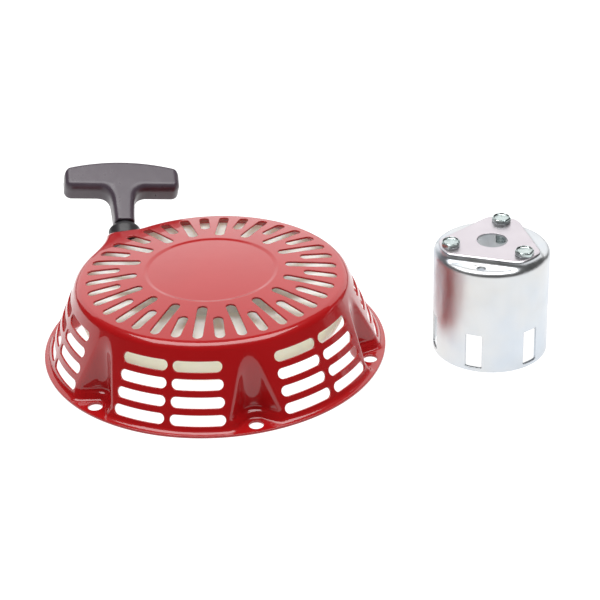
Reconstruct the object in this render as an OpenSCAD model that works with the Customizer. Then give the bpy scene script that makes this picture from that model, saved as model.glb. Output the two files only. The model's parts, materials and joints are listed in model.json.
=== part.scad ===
// Recoil starter with its starter cup, in millimetres.
// The origin is the centre of the flange's bolt circle, on the mounting face.
// +Z is the reel's axis, from the engine towards the cover's top.

/* [Cover] */
// Flange diameter
flange_d = 200; // [180:1:220]
// Sheet thickness of the cover
sheet_t = 1.2; // [0.8:0.1:2]
// Thickness of the flange
flange_t = 1.4; // [1:0.1:2.5]
// Height of the domed top at the axis, before the disc is pressed in
dome_top = 52.1; // [45:0.1:60]
// Fall of the dome from the axis to a radius of 73 mm
dome_fall = 5.3; // [3:0.1:7]
// Wall radius, carried down to the mounting face
wall_r = 97.7; // [95:0.1:98]
// Loss of wall radius for each millimetre of height
wall_lean = 0.42; // [0.35:0.01:0.45]
// Radius of the shoulder between top and wall
shoulder_r = 6; // [4:0.5:8]
// Radius of the pressed-in disc at the centre
disc_r = 37.5; // [30:0.5:39]
// Depth of the pressed-in disc
disc_drop = 1.4; // [0.5:0.1:2]

/* [Mounting bays] */
// Number of mounting bays
bays = 6; // [6:1:6]
// Angle of the first bay
bay_angle = 45.3; // [0:0.1:60]
// Radius of the bolt circle
bolt_circle_r = 93; // [91:0.5:94]
// Radius of each bolt hole
bolt_hole_r = 4; // [3:0.1:4.5]
// Radius of the bay's rounded back
bay_back_r = 8.8; // [7:0.1:10]
// Distance from the axis to the centre of the bay's back
bay_centre = 91; // [89:0.1:93]
// Flare of each side of the bay, from the radial direction
bay_flare = 42; // [35:1:46]
// Height of the bay's floor
bay_floor = 4.2; // [3:0.1:6]

/* [Slots] */
// Number of top slots, long and short in turn
top_slots = 36; // [36:2:36]
// Outer end of every top slot
slot_outer = 72.4; // [70:0.1:73]
// Inner end of a long slot
long_inner = 42.9; // [41:0.1:46]
// Inner end of a short slot
short_inner = 53.4; // [50:0.1:56]
// Width of a top slot
slot_w = 5.5; // [4:0.1:6]
// Height of a side slot along the wall
side_slot_h = 6; // [4:0.1:7]
// Height of the lowest row of side slots
side_row_z = 7.6; // [7:0.1:9]
// Rise from one row of side slots to the next
side_row_step = 9.1; // [8.5:0.1:9.5]
// Length of a side slot, as an angle
side_slot_angle = 18.8; // [16:0.1:19]
// Angle between the two side slots of a panel
side_slot_pitch = 20.8; // [20:0.1:21]

/* [Rope] */
// Diameter of the starter rope
rope_d = 4.5; // [4:0.1:5]
// Radius of the rope's outermost turn on the reel
rope_turn_r = 49.15; // [45:0.05:52]
// Gap between two turns of the rope
rope_gap = 0.2; // [0.1:0.1:0.5]
// Half turns of rope wound on the reel
rope_half_turns = 8; // [4:1:9]
// Height of the rope on the reel
rope_z = 33; // [31:0.1:34]
// Direction in which the rope leaves the reel, seen from above
rope_angle = 95; // [90:0.5:100]
// Climb of the rope guide and the grip above the horizontal
guide_climb = 30; // [20:1:40]

/* [Reel] */
// Outer radius of the reel's flanges
reel_r = 76; // [70:0.5:77]
// Radius of the post that the reel turns on
post_r = 7; // [6:0.1:9]
// Running gap between post and reel, on the radius
post_gap = 0.06; // [0.02:0.01:0.1]
// Radius of the hub that the rope is wound on
rope_hub_r = 27.5; // [25:0.5:28]
// Outer radius of the spring case
spring_case_r = 38; // [34:0.5:39]

/* [Pawls] */
// Distance from the axis to a pawl's pivot
pawl_pivot_r = 21; // [18:0.5:22]
// Length of a pawl from its pivot to its tip
pawl_length = 19.5; // [17:0.5:21]
// Swing of a pawl from stowed to engaged
pawl_swing = 30; // [20:1:35]
// Turn of the ratchet guide that swings the pawls out
guide_turn = 40; // [30:1:45]

/* [Grip] */
// Width of the grip's bar
grip_w = 72; // [60:1:90]
// Thickness of the grip's bar
grip_t = 15.2; // [14:0.1:22]
// Turn of the grip about its stem
grip_twist = 8; // [-20:1:20]

/* [Starter cup] */
// Place of the cup's axis beside the cover
cup_x = 160.4; // [140:0.1:200]
// Place of the cup's axis in front of or behind the cover's axis
cup_y = -8.3; // [-40:0.1:40]
// Outer radius of the cup
cup_r = 33; // [30:0.1:36]
// Sheet thickness of the cup
cup_t = 1.4; // [1:0.1:2]
// Height of the cup's rim at its closed end
cup_rim_z = 64; // [55:0.5:70]
// Height of the raised triangle's face
cup_top_z = 68; // [60:0.5:74]
// Distance from the axis to each side of the raised triangle
cup_triangle_r = 22.2; // [20:0.1:24]
// Angle of the first cup bolt
cup_bolt_angle = 71.5; // [0:0.5:120]
// Radius of the circle of the cup bolts
cup_bolt_circle_r = 24.3; // [22:0.1:26]

/* [Hidden] */
part_fn = 96;
small_fn = 32;
cut = 1;

// Cover
flange_r = flange_d / 2;
wall_angle = atan(wall_lean);
disc_top = dome_top - dome_fall * pow(disc_r / 73, 2) - disc_drop;
disc_under = disc_top - sheet_t;
shoulder_c = [74.15, 40.56];
shoulder_steps = 6;
foot_r = 2.5;
foot_steps = 4;
bay_pitch = 360 / bays;
side_rows = 4;
pad_r = 7.4;
pad_flare = 46;

// Rope route: level off the reel, then a bend up into the guide's axis.
rope_r = rope_d / 2;
rope_pitch = rope_d + rope_gap;
rope_start = [
    rope_turn_r * cos(rope_angle + 90),
    rope_turn_r * sin(rope_angle + 90),
    rope_z
];
rope_end = [
    (rope_turn_r - rope_half_turns * rope_pitch / 2) * cos(rope_angle + 90),
    (rope_turn_r - rope_half_turns * rope_pitch / 2) * sin(rope_angle + 90)
];
rope_split = 0.3;
rope_bend_r = 12;
mouth_t = 76.6;
mouth_rise = 3;
rope_out = (mouth_rise - rope_bend_r * (1 - cos(guide_climb))) / sin(guide_climb);
rope_level = mouth_t - rope_out * cos(guide_climb) - rope_bend_r * sin(guide_climb);
spout_r = 9.6;
spout_bore_r = 8;

// Reel
reel_floor = 24;
lower_flange_top = 28.6;
upper_flange_under = 37.4;
reel_top = 41.5;
cavity_floor = 39.2;
case_top = 47.1;
cavity_r = 35;
hub_under = 20;
boss_under = 13.5;
boss_r = 11;
knot_at = [-25.4, -10.8];
knot_r = 4.2;
hook_angle = 6;

// Post, screw and guide stack
post_end = 12.6;
screw_shoulder_r = 8;
screw_flange_z = 5.4;
guide_z = 9.4;
guide_t = 2.8;
guide_r = 29.3;

// Pawls
pawl_z = 13;
pawl_t = 5.4;
pawl_pin_r = 2.5;
pawl_pin_gap = 0.05;
pawl_rest = -100;
peg_reach = 8;
peg_r = 1.5;

// Grip, along its stem
guide_seat = -2.5;
guide_out = 7.6;
grip_base = 8.4;
grip_under = 31.3;
grip_top = 50.7;
grip_end_drop = 3.4;
grip_front = 7.6;

// ---------- helpers ----------

function dome_z(r) = dome_top - dome_fall * pow(r / 73, 2);
function wall_at(z) = wall_r - wall_lean * z;
function on_circle(r, a) = [r * cos(a), r * sin(a)];

module at_bays() {
    for (i = [0 : bays - 1]) {
        rotate(bay_angle + i * bay_pitch) children();
    }
}

module along_rope() {
    translate(rope_start) rotate(rope_angle) children();
}

// Local +Z runs out of the rope guide, and local -X is the grip's front.
module along_grip() {
    along_rope() translate([mouth_t, 0, mouth_rise]) rotate([0, 90 - guide_climb, 0]) children();
}

module at_cup() {
    translate([cup_x, cup_y, 0]) children();
}

// ---------- cover ----------

// Half section of the cover's outside, pushed inwards by inset.
function cover_outline(inset) = concat(
    [[0, disc_top - inset], [disc_r - 0.8, disc_top - inset]],
    [[disc_r + 0.8, dome_z(disc_r + 0.8) - inset]],
    [for (r = [46 : 7 : 67]) [r, dome_z(r) - inset]],
    [for (i = [0 : shoulder_steps])
        let (a = 81.6 - i * (81.6 - wall_angle) / shoulder_steps)
        shoulder_c + (shoulder_r - inset) * [cos(a), sin(a)]]
);

module cover_outside() {
    foot_c = [wall_at(flange_t + foot_r) + foot_r / cos(wall_angle), flange_t + foot_r];
    rotate_extrude($fn = part_fn * 2) polygon(concat(
        cover_outline(0),
        [for (i = [0 : foot_steps])
            let (a = 180 + wall_angle + i * (90 - wall_angle) / foot_steps)
            foot_c + foot_r * [cos(a), sin(a)]],
        [[flange_r, flange_t], [flange_r, 0], [0, 0]]
    ));
}

module cover_inside() {
    rotate_extrude($fn = part_fn * 2) polygon(concat(
        cover_outline(sheet_t),
        [[wall_at(-cut) - sheet_t / cos(wall_angle), -cut], [0, -cut]]
    ));
}

// A plan with a rounded back and two flared sides that run outwards from it.
module flared_plan(back_x, back_r, flare, reach) {
    start_r = back_r - 0.03;
    side = [back_x - start_r * sin(flare), start_r * cos(flare)];
    far = side + reach * [1, tan(flare)];
    translate([back_x, 0]) circle(back_r);
    polygon([side, far, [far.x, -far.y], [side.x, -side.y]]);
}

// Plan of one bay, grown outwards by grow.
module bay_plan(grow) {
    flared_plan(bay_centre, bay_back_r + grow, bay_flare, 24);
}

// Plan of the flat seat around one bolt hole, grown outwards by grow.
module pad_plan(grow) {
    flared_plan(bolt_circle_r, pad_r + grow, pad_flare, 14);
}

// A slot's plan: straight sides and round ends, centred on the origin.
module slot_plan(length, width) {
    square([length - width, width], center = true);
    for (x = [-1, 1]) {
        translate([x * (length - width) / 2, 0]) circle(width / 2, $fn = small_fn);
    }
}

module top_slot(inner) {
    translate([(inner + slot_outer) / 2, 0, dome_top - 12]) linear_extrude(14) {
        slot_plan(slot_outer - inner, slot_w);
    }
}

module top_slot_ring() {
    for (i = [0 : top_slots - 1]) {
        rotate(bay_angle + i * 360 / top_slots) top_slot(i % 2 == 0 ? long_inner : short_inner);
    }
}

// One side slot, cut square to the wall.
module side_slot(z) {
    length = 2 * wall_at(z) * sin(side_slot_angle / 2);
    translate([wall_at(z), 0, z]) rotate([0, 90 - wall_angle, 0]) {
        translate([0, 0, -4]) linear_extrude(7) rotate(90) slot_plan(length, side_slot_h);
    }
}

// The panel behind the rope guide has its upper rows left out, where the spout is.
module side_slots() {
    for (i = [0 : bays - 1], c = [-0.5, 0.5], row = [0 : side_rows - 1]) {
        a = bay_angle + (i + 0.5) * bay_pitch + c * side_slot_pitch;
        if (!(i == 1 && (row > 0 || c > 0))) {
            rotate(a) side_slot(side_row_z + row * side_row_step);
        }
    }
}

// The spout that leads the rope out, blended into shoulder and wall.
module spout(inset) {
    skin = 0.9 + inset;
    hull() {
        along_grip() translate([0, 0, guide_seat - 1]) {
            cylinder(r = spout_r - inset, h = inset > 0 ? 2 : 1, $fn = small_fn);
        }
        rotate(98) rotate_extrude(angle = 46, $fn = part_fn) polygon([
            [62, 13], [wall_at(13) - skin, 13], [wall_at(41) - skin, 41],
            [75.4 - inset, 45.6 - inset], [62, 46 - inset]
        ]);
    }
}

module housing() {
    color([0.66, 0.06, 0.07]) difference() {
        union() {
            cover_outside();
            spout(0);
        }
        at_bays() translate([0, 0, bay_floor]) linear_extrude(60) {
            bay_plan(0, $fn = part_fn);
        }
        difference() {
            union() {
                cover_inside();
                spout(sheet_t);
            }
            at_bays() translate([0, 0, bay_floor - sheet_t]) linear_extrude(60) {
                bay_plan(sheet_t, $fn = part_fn);
            }
            at_bays() translate([0, 0, -2 * cut]) linear_extrude(bay_floor + 2 * cut - sheet_t + 0.5) {
                pad_plan(sheet_t, $fn = part_fn);
            }
        }
        at_bays() translate([0, 0, flange_t]) linear_extrude(bay_floor + 0.5) {
            pad_plan(0, $fn = part_fn);
        }
        at_bays() translate([bolt_circle_r, 0, -cut]) cylinder(r = bolt_hole_r, h = 12, $fn = small_fn);
        top_slot_ring();
        side_slots();
        along_grip() translate([0, 0, -9]) cylinder(r = spout_bore_r, h = 12, $fn = small_fn);
    }
}

// The steel post that carries the reel, welded under the pressed-in disc.
module centre_post() {
    color([0.72, 0.73, 0.75]) difference() {
        union() {
            translate([0, 0, disc_under - 1.5]) cylinder(r = 14, h = 1.5, $fn = part_fn);
            translate([0, 0, post_end]) cylinder(r = post_r, h = disc_under - 1 - post_end, $fn = part_fn);
        }
        translate([0, 0, post_end - cut]) cylinder(r = 2.5, h = 20, $fn = small_fn);
        translate([2, -0.6, cavity_floor - 1]) cube([6, 1.2, disc_under - 1.5 - cavity_floor + 1]);
    }
}

// The bell-mouthed bush that the rope slides through.
module rope_guide() {
    color([0.12, 0.11, 0.12]) along_grip() difference() {
        rotate_extrude($fn = part_fn) polygon([
            [0, -7], [spout_bore_r - 0.05, -7], [spout_bore_r - 0.05, guide_seat + 0.1],
            [9.8, guide_seat + 0.1], [9.8, 4], [9.3, 4.9], [8.7, 5.8], [8.1, 6.7],
            [7.2, guide_out], [0, guide_out]
        ]);
        translate([0, 0, -8]) cylinder(r = rope_r + 0.6, h = 20, $fn = small_fn);
        translate([0, 0, -7.01]) cylinder(r1 = 6, r2 = rope_r + 0.6, h = 5, $fn = small_fn);
    }
}

// ---------- reel and rope ----------

module reel() {
    color([0.86, 0.81, 0.72]) difference() {
        union() {
            rotate_extrude($fn = part_fn) polygon([
                [post_r + post_gap, boss_under], [boss_r, boss_under], [boss_r, hub_under],
                [31, hub_under], [33, reel_floor], [reel_r, reel_floor], [reel_r, reel_floor + 2.2],
                [rope_hub_r, lower_flange_top], [rope_hub_r, upper_flange_under],
                [reel_r, reel_top - 2.2], [reel_r, reel_top], [spring_case_r, reel_top],
                [spring_case_r, case_top], [cavity_r, case_top], [cavity_r, cavity_floor],
                [post_r + post_gap, cavity_floor]
            ]);
            for (i = [0 : 11]) {
                rotate(15 + i * 30) translate([32, -1, hub_under + 1.6]) cube([42, 2, 2.6]);
            }
            difference() {
                translate([0, 0, hub_under + 1]) cylinder(r = reel_r - 1.5, h = 3.2, $fn = part_fn);
                translate([0, 0, hub_under]) cylinder(r = reel_r - 4, h = 6, $fn = part_fn);
            }
        }
        for (a = [0, 180]) {
            rotate(a) translate([pawl_pivot_r, 0, hub_under - cut]) {
                cylinder(r = pawl_pin_r + pawl_pin_gap, h = 8, $fn = small_fn);
                cylinder(r = 4.6, h = 3, $fn = small_fn);
            }
        }
        translate([knot_at.x, knot_at.y, rope_z - 5]) cylinder(r = knot_r + 0.5, h = 9, $fn = small_fn);
        rope_tail(rope_r + 0.2);
        rotate(hook_angle) translate([cavity_r - 1, -2.5, cavity_floor]) cube([5, 5, case_top]);
    }
}

// The flat spiral spring: one strip wound outwards, hooked at both ends.
module recoil_spring() {
    strip_t = 0.5;
    strip_h = 7;
    turns = 11;
    inner_r = 8.4;
    turn_gap = 2.3;
    steps = 30;
    inner = [[3, 0], for (i = [0 : turns * steps])
        on_circle(inner_r + turn_gap * i / steps, i * 360 / steps)];
    hook = inner[len(inner) - 1] + 6 * [cos(60), sin(60)];
    outer = [[3, -strip_t], for (i = [0 : turns * steps])
        on_circle(inner_r + strip_t + turn_gap * i / steps, i * 360 / steps - 2)];
    hook_out = hook + strip_t * [sin(60), -cos(60)];
    color([0.42, 0.43, 0.46]) translate([0, 0, cavity_floor + 0.3]) linear_extrude(strip_h) {
        polygon(concat(inner, [hook, hook_out], [for (i = [len(outer) - 1 : -1 : 0]) outer[i]]));
    }
}

// The rope on the reel: half circles on two centres, growing outwards.
module rope_coil() {
    color([0.80, 0.78, 0.74]) translate([0, 0, rope_z]) rotate(rope_angle + 90) {
        for (k = [0 : rope_half_turns - 1]) {
            r = rope_turn_r - k * rope_pitch / 2;
            translate([k % 2 == 0 ? 0 : -rope_pitch / 2, 0, 0]) rotate(k % 2 == 0 ? 0 : 180) {
                rotate_extrude(angle = 180, $fn = part_fn) translate([r, 0]) circle(rope_r, $fn = small_fn);
            }
        }
    }
}

// The straight end of the rope, from the innermost turn into the hub.
module rope_tail(r) {
    tail = knot_at - rope_end;
    translate([rope_end.x, rope_end.y, rope_z]) rotate([0, 90, atan2(tail.y, tail.x)]) {
        cylinder(r = r, h = norm(tail), $fn = small_fn);
    }
}

module reel_knot() {
    color([0.80, 0.78, 0.74]) {
        rope_tail(rope_r);
        translate([knot_at.x, knot_at.y, rope_z]) sphere(knot_r, $fn = small_fn);
    }
}

// The rope from its outermost turn through the guide to the knot in the grip.
// Each station is a place beside the rope's level line, a height, and the rope's climb there.
module rope_lead() {
    sides = 20;
    bend_steps = 6;
    grip_end = 39.4;
    stations = concat(
        [[rope_split, 0, 0]],
        [for (i = [0 : bend_steps])
            let (a = guide_climb * i / bend_steps)
            [rope_level + rope_bend_r * sin(a), rope_bend_r * (1 - cos(a)), a]],
        [[mouth_t + grip_end * cos(guide_climb), mouth_rise + grip_end * sin(guide_climb), guide_climb]]
    );
    rings = len(stations);
    points = [for (s = stations, k = [0 : sides - 1])
        let (a = k * 360 / sides, up = rope_r * cos(a))
        [s[0] - up * sin(s[2]), rope_r * sin(a), s[1] + up * cos(s[2])]];
    walls = [for (j = [0 : rings - 2], k = [0 : sides - 1])
        let (n = (k + 1) % sides)
        each [[j * sides + k, j * sides + n, (j + 1) * sides + n],
              [j * sides + k, (j + 1) * sides + n, (j + 1) * sides + k]]];
    caps = [
        [for (k = [sides - 1 : -1 : 0]) k],
        [for (k = [0 : sides - 1]) (rings - 1) * sides + k]
    ];
    color([0.80, 0.78, 0.74]) along_rope() polyhedron(points, concat(walls, caps));
}

module grip_knot() {
    color([0.80, 0.78, 0.74]) along_grip() translate([0, 0, 42.4]) {
        intersection() {
            sphere(5, $fn = small_fn);
            translate([0, 0, 1]) cube([12, 12, 8], center = true);
        }
    }
}

// ---------- grip ----------

// One rounded slab of the grip at a height along the stem: width, depth, corner radius
// and how far its front lies behind the grip's front face.
module grip_slab(z, w, t, r, back = 0) {
    translate([t / 2 + back - grip_front, 0, z]) linear_extrude(0.2) {
        offset(r) square([t - 2 * r, w - 2 * r], center = true);
    }
}

module grip() {
    color([0.21, 0.19, 0.21]) along_grip() rotate(grip_twist) difference() {
        union() {
            hull() {
                grip_slab(grip_under, grip_w - 6, grip_t - 5, 4, 3, $fn = small_fn);
                grip_slab(grip_under + 2.6, grip_w, grip_t, 4.5, $fn = small_fn);
                grip_slab(grip_top - grip_end_drop - 3.5, grip_w - 1, grip_t, 4.5, $fn = small_fn);
                grip_slab(grip_top - grip_end_drop, grip_w - 8, grip_t - 1.5, 4.5, 0.3, $fn = small_fn);
                grip_slab(grip_top - 0.2, grip_w / 3, grip_t - 3, 4.5, 0.5, $fn = small_fn);
            }
            hull() {
                grip_slab(grip_base, 13.4, 2 * grip_front - 0.8, 3.5, 0.4, $fn = small_fn);
                grip_slab(grip_under - 5, 14.8, 2 * grip_front, 3.5, $fn = small_fn);
            }
            hull() {
                grip_slab(grip_under - 5, 14.8, 2 * grip_front, 3.5, $fn = small_fn);
                grip_slab(grip_under + 1, 24, grip_t - 2, 3.5, $fn = small_fn);
            }
        }
        translate([0, 0, grip_base - cut]) cylinder(r = rope_r + 0.35, h = 60, $fn = small_fn);
        translate([0, 0, 38]) cylinder(r = 5.6, h = 30, $fn = small_fn);
    }
}

// ---------- pawls and their guide ----------

// One pawl in its own place: plate, pivot pin and guide peg.
module pawl() {
    tip_w = 4.4;
    translate([pawl_pivot_r, 0, pawl_z]) rotate(pawl_rest) {
        cylinder(r = 4.4, h = pawl_t, $fn = small_fn);
        linear_extrude(pawl_t) polygon([
            [0, -4.3], [10, -3.1], [pawl_length - 1, -2.2], [pawl_length, -1.2],
            [pawl_length - 0.6, tip_w - 2.2], [10, 3], [0, 4.3]
        ]);
        translate([0, 0, pawl_t - 0.5]) cylinder(r = pawl_pin_r, h = 8, $fn = small_fn);
        translate([peg_reach, 0, guide_z - pawl_z + 0.2]) {
            cylinder(r = peg_r, h = pawl_z - guide_z + 0.5, $fn = small_fn);
        }
    }
}

module pawl_1() {
    color([0.62, 0.63, 0.65]) pawl();
}

module pawl_2() {
    color([0.62, 0.63, 0.65]) rotate(180) pawl();
}

// The small wire spring round a pawl's pin: closed turns and two legs.
module pawl_spring() {
    wire_r = 0.42;
    translate([pawl_pivot_r, 0, pawl_z + pawl_t + 0.55]) {
        for (k = [0 : 2]) {
            translate([0, 0, k * 0.8]) rotate_extrude($fn = 48) translate([3.6, 0]) circle(wire_r, $fn = 16);
        }
        translate([3.6, 0, 0]) rotate([90, 0, 0]) cylinder(r = 0.35, h = 7, $fn = 16);
    }
}

module pawl_spring_1() {
    color([0.75, 0.75, 0.78]) pawl_spring();
}

module pawl_spring_2() {
    color([0.75, 0.75, 0.78]) rotate(180) pawl_spring();
}

// The cam slot follows the peg while the pawl swings and the guide turns.
module ratchet_guide() {
    steps = 16;
    color([0.70, 0.66, 0.50]) difference() {
        translate([0, 0, guide_z]) cylinder(r = guide_r, h = guide_t, $fn = part_fn);
        translate([0, 0, guide_z - cut]) cylinder(r = screw_shoulder_r + post_gap, h = 6, $fn = part_fn);
        for (a = [0, 180], k = [0 : steps]) {
            swing = pawl_rest + pawl_swing * k / steps;
            rotate(a - guide_turn * k / steps) {
                translate([pawl_pivot_r + peg_reach * cos(swing), peg_reach * sin(swing), guide_z - cut]) {
                    cylinder(r = peg_r + 0.5, h = 6, $fn = small_fn);
                }
            }
        }
        for (a = [55, 235]) {
            rotate(a) translate([20, 0, guide_z - cut]) cylinder(r = 4.5, h = 6, $fn = small_fn);
        }
    }
}

// The open wire ring that drags on the ratchet guide.
module friction_spring() {
    color([0.75, 0.75, 0.78]) translate([0, 0, guide_z - 1.05]) rotate(20) {
        rotate_extrude(angle = 320, $fn = part_fn) translate([10, 0]) circle(0.85, $fn = 24);
    }
}

module thrust_washer() {
    color([0.78, 0.79, 0.81]) difference() {
        translate([0, 0, post_end]) cylinder(r = 12, h = 0.7, $fn = part_fn);
        translate([0, 0, post_end - cut]) cylinder(r = post_r + 0.1, h = 4, $fn = part_fn);
    }
}

// The shoulder screw that holds the reel on its post.
module centre_screw() {
    color([0.80, 0.79, 0.70]) {
        translate([0, 0, 1.6]) cylinder(d = 10 / cos(30), h = screw_flange_z - 1.6, $fn = 6);
        translate([0, 0, screw_flange_z]) cylinder(r = 11.6, h = 1.8, $fn = part_fn);
        translate([0, 0, screw_flange_z + 1.7]) {
            cylinder(r = screw_shoulder_r, h = post_end - screw_flange_z - 1.7, $fn = part_fn);
        }
        translate([0, 0, post_end - 0.1]) cylinder(r = 2.45, h = 17, $fn = small_fn);
    }
}

// ---------- starter cup ----------

// Half section of the cup's outside, pushed inwards by inset.
module cup_body(inset, low) {
    edge_r = 3.4;
    rotate_extrude($fn = part_fn) polygon(concat(
        [[0, low], [cup_r - inset, low]],
        [for (a = [0 : 15 : 90])
            [cup_r - edge_r, cup_rim_z - edge_r] + (edge_r - inset) * [cos(a), sin(a)]],
        [[0, cup_rim_z - inset]]
    ));
}

// The raised triangle, its corners rounded off by the cup's own edge.
module cup_triangle(inset) {
    side_r = cup_triangle_r + 0.5 - inset;
    rotate(cup_bolt_angle) intersection() {
        translate([0, 0, cup_rim_z - 8]) cylinder(r = 2 * side_r, h = cup_top_z - cup_rim_z + 8 - inset, $fn = 3);
        translate([0, 0, cup_rim_z - 9]) cylinder(r = cup_r - 2.2 - inset, h = 20, $fn = part_fn);
    }
}

module starter_cup() {
    window_w = 9.8;
    color([0.82, 0.83, 0.85]) at_cup() difference() {
        union() {
            cup_body(0, 0);
            cup_triangle(0);
        }
        cup_body(cup_t, -cut);
        cup_triangle(cup_t);
        for (i = [0 : 5]) {
            rotate(7.5 + i * 60) translate([cup_r - 8, -window_w / 2, 2.6]) cube([12, window_w, 21]);
        }
        cylinder(r = 8.6, h = cup_top_z + cut, $fn = part_fn);
        for (i = [0 : 2]) {
            rotate(cup_bolt_angle + i * 120) translate([cup_bolt_circle_r, 0, cup_top_z - 5]) {
                cylinder(r = 3.2, h = 8, $fn = small_fn);
            }
        }
        rotate(cup_bolt_angle + 180) translate([29.2 - 1.6, 0, cup_rim_z - 5]) {
            cylinder(r = 2.4, h = 8, $fn = small_fn);
        }
    }
}

// The three bolts that hold the cup to the flywheel: dished hexagon heads, a plain neck
// that centres the sheet's holes, and the slightly slimmer threaded length below it.
module cup_bolts() {
    head_h = 2.9;
    neck = 1.5;
    color([0.80, 0.80, 0.78]) at_cup() for (i = [0 : 2]) {
        rotate(cup_bolt_angle + i * 120) translate([cup_bolt_circle_r, 0, cup_top_z]) {
            difference() {
                union() {
                    cylinder(d = 10 / cos(30), h = head_h, $fn = 6);
                    translate([0, 0, -neck]) cylinder(r = 3.1, h = neck + 1, $fn = small_fn);
                    translate([0, 0, -14]) cylinder(r = 2.9, h = 14 - neck, $fn = small_fn);
                }
                translate([0, 0, head_h - 0.8]) cylinder(r1 = 3.4, r2 = 4.4, h = 0.9, $fn = small_fn);
            }
        }
    }
}

housing();
centre_post();
rope_guide();
reel();
recoil_spring();
rope_coil();
reel_knot();
rope_lead();
grip_knot();
grip();
pawl_1();
pawl_2();
pawl_spring_1();
pawl_spring_2();
ratchet_guide();
friction_spring();
thrust_washer();
centre_screw();
starter_cup();
cup_bolts();
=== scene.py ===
import json
import math

import bpy
import numpy as np
from mathutils import Matrix, Vector


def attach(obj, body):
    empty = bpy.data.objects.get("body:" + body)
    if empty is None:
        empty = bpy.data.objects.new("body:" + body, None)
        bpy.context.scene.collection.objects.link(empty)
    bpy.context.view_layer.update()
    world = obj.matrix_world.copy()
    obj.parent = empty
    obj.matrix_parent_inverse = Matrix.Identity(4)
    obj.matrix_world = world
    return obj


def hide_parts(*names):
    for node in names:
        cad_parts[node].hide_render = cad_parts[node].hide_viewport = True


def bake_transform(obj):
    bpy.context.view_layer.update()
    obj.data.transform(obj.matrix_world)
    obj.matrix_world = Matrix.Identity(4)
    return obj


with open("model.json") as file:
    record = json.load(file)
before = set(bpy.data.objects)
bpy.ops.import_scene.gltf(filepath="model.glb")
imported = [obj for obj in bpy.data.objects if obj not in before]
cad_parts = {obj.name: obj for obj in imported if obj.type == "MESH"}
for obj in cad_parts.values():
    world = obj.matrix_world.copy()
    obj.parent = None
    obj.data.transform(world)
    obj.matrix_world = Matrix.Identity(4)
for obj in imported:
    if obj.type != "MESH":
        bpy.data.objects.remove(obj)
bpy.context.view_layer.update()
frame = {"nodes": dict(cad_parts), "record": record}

MM = 0.001

# ---------- sizes of the part, in millimetres and degrees ----------

# cover: height of the top's middle, and how far it falls at a reference radius
DOME_TOP, DOME_FALL, DOME_REF = 52.1, 5.3, 73.0
# cover: the wall's radius at the foot and how much it shrinks per millimetre of height
WALL_R, WALL_LEAN = 97.7, 0.42
WALL_ANGLE = math.atan(WALL_LEAN)
SHOULDER_R = 6.0
SHEET_T, FLANGE_T = 1.2, 1.4
DISC_R, DISC_DROP = 37.5, 0.7
# bays for the bolts: pressed into the wall, rounded at the back and flaring outwards
BAY_ANGLE, BAY_PITCH = 45.3, 60.0
BAY_CENTRE, BAY_BACK_R, BAY_FLARE, BAY_FLOOR = 91.0, 8.8, 42.0, 4.2
BOLT_CIRCLE_R, BOLT_HOLE_R = 93.0, 4.0
PAD_R, PAD_FLARE = 7.4, 46.0
# slots of the top, by the radius of their ends, and the level slots of the wall
SLOT_OUTER, LONG_INNER, SHORT_INNER, SLOT_W = 72.4, 42.9, 53.4, 5.5
SIDE_SLOT_H, SIDE_ROW_Z, SIDE_ROW_STEP = 6.0, 7.6, 9.1
SIDE_SLOT_ANGLE, SIDE_SLOT_PITCH = 18.8, 20.8
# rope: direction and climb of its way out, and where it leaves the reel; the mouth of the chute
ROPE_ANGLE, GUIDE_CLIMB, ROPE_TURN_R, ROPE_Z, ROPE_D = 95.0, 30.0, 49.15, 33.0, 4.5
MOUTH_T, MOUTH_RISE, GUIDE_SEAT, SPOUT_HALF = 76.6, 3.0, -2.5, 10.9
# grip, by the distance out of the mouth along the rope
GRIP_BASE, GRIP_UNDER, GRIP_TOP, GRIP_HALF_W, GRIP_HALF_T = 8.0, 31.4, 50.7, 36.0, 7.6
GRIP_TWIST = 8.0
# starter cup
CUP_AT = np.array([160.4, -8.3, 0.0])
CUP_R, CUP_RIM_Z, CUP_TOP_Z, CUP_EDGE_R, CUP_T = 33.0, 64.0, 68.0, 3.4, 1.4
CUP_BOLT_ANGLE, CUP_BOLT_R, CUP_TRIANGLE_R, CUP_BORE_R = 71.5, 24.3, 22.3, 8.6
WINDOW_Z, WINDOW_HALF_W, WINDOW_HALF_H, WINDOW_CORNER = 13.1, 4.9, 10.5, 0.7
DRAIN_AT, DRAIN_R = 27.6, 2.4
BOLT_FLATS, BOLT_PITCH = 10.0, 1.0


def direction(angle):
    """Unit vector in plan at an angle in degrees."""
    return np.array([math.cos(math.radians(angle)), math.sin(math.radians(angle)), 0.0])


ROPE_START = ROPE_TURN_R * direction(ROPE_ANGLE + 90) + [0, 0, ROPE_Z]
ROPE_DIR = direction(ROPE_ANGLE)
PULL = math.cos(math.radians(GUIDE_CLIMB)) * ROPE_DIR + [0, 0, math.sin(math.radians(GUIDE_CLIMB))]
MOUTH = ROPE_START + MOUTH_T * ROPE_DIR + [0, 0, MOUTH_RISE]


# ---------- signed fields ----------


def smooth_max(a, b, k):
    h = np.maximum(k - np.abs(a - b), 0) / k
    return np.maximum(a, b) + h * h * k / 4


def smooth_min(a, b, k):
    return -smooth_max(-a, -b, k)


def round_both(a, b, radius, cosine):
    """Where both fields hold, with the edge between them rounded to a radius."""
    a1, b1 = a + radius, b + radius
    reach = np.sqrt(np.maximum(a1 * a1 + b1 * b1 - 2 * a1 * b1 * cosine, 0) / (1 - cosine * cosine))
    corner = (a1 > b1 * cosine) & (b1 > a1 * cosine)
    return np.where(corner, reach - radius, np.maximum(a, b))


def ease(x, low, high):
    t = np.clip((x - low) / (high - low), 0, 1)
    return t * t * (3 - 2 * t)


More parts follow.
